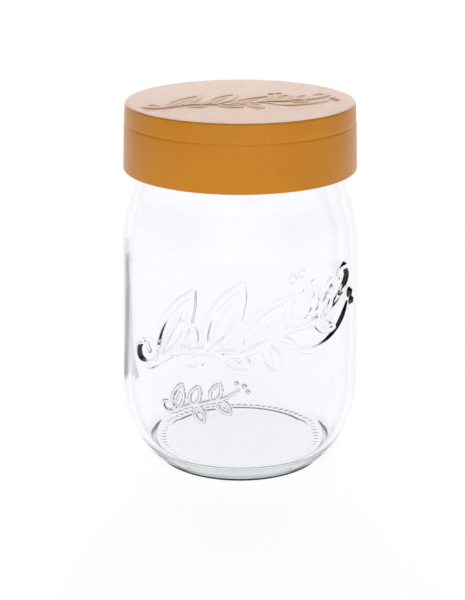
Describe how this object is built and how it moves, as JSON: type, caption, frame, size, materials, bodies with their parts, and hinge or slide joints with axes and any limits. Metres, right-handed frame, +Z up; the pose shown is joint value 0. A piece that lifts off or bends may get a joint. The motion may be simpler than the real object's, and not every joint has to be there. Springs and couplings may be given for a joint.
{
  "type": "screw-top storage jar",
  "caption": "Clear glass wide-mouth preserving jar with a round heel and raised leaf decoration, closed by a matte gold screw cap over a sealing disc and gasket.",
  "frame": {"origin": "centre of the standing ring, on the plane the jar stands on", "axes": "+Z up the jar's axis towards the cap, -Y towards the decorated front"},
  "size_m": [0.1034, 0.1034, 0.1576],
  "materials": {
    "clear_glass": "clear, fire-polished, faintly green at the edges",
    "gold_plastic": "metallic gold, fine matte grain",
    "disc_plastic": "plain white, satin",
    "gasket_rubber": "soft, matte, off-white"
  },
  "bodies": {
    "jar": {"glass_jar": "clear_glass"},
    "seal": {"sealing_disc": "disc_plastic", "seal_gasket": "gasket_rubber"},
    "cap": {"screw_cap": "gold_plastic"}
  },
  "joints": [
    {"name": "lid_rise", "type": "slide", "parent": "jar", "child": "seal", "axis": [0, 0, 1], "range_m": [0, 0.0302]},
    {"name": "lid_turn", "type": "hinge", "parent": "seal", "child": "cap", "pos_m": [0, 0, 0.143], "axis": [0, 0, 1], "range_deg": [0, 1710]}
  ],
  "couplings": [
    {"joint": "lid_rise", "follows": "lid_turn", "m_per_rad": 0.0010106}
  ]
}
